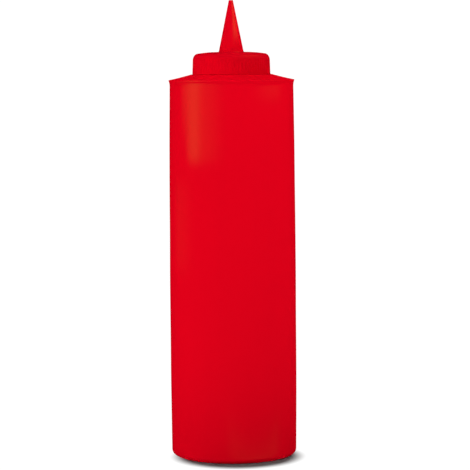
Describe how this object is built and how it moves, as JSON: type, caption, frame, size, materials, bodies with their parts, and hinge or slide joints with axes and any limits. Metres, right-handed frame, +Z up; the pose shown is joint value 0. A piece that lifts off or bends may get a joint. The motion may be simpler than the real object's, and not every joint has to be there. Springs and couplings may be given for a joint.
{
  "type": "condiment squeeze bottle",
  "caption": "Tall round squeeze bottle with straight walls, a low conical shoulder and a screw cap that carries a slim cone nozzle; it stands on its base.",
  "frame": {"origin": "centre of the base, on the plane that the bottle stands on", "axes": "+Z up along the bottle's axis, from the base to the nozzle's tip; -Y towards the viewer, +X to the viewer's right"},
  "size_m": [0.0686, 0.0686, 0.2468],
  "materials": {
    "body_plastic": "satin blow-moulded soft plastic, opaque red",
    "cap_plastic": "satin injection-moulded soft plastic, opaque red"
  },
  "bodies": {
    "root": {"bottle": "body_plastic", "cap": "cap_plastic"}
  },
  "joints": []
}
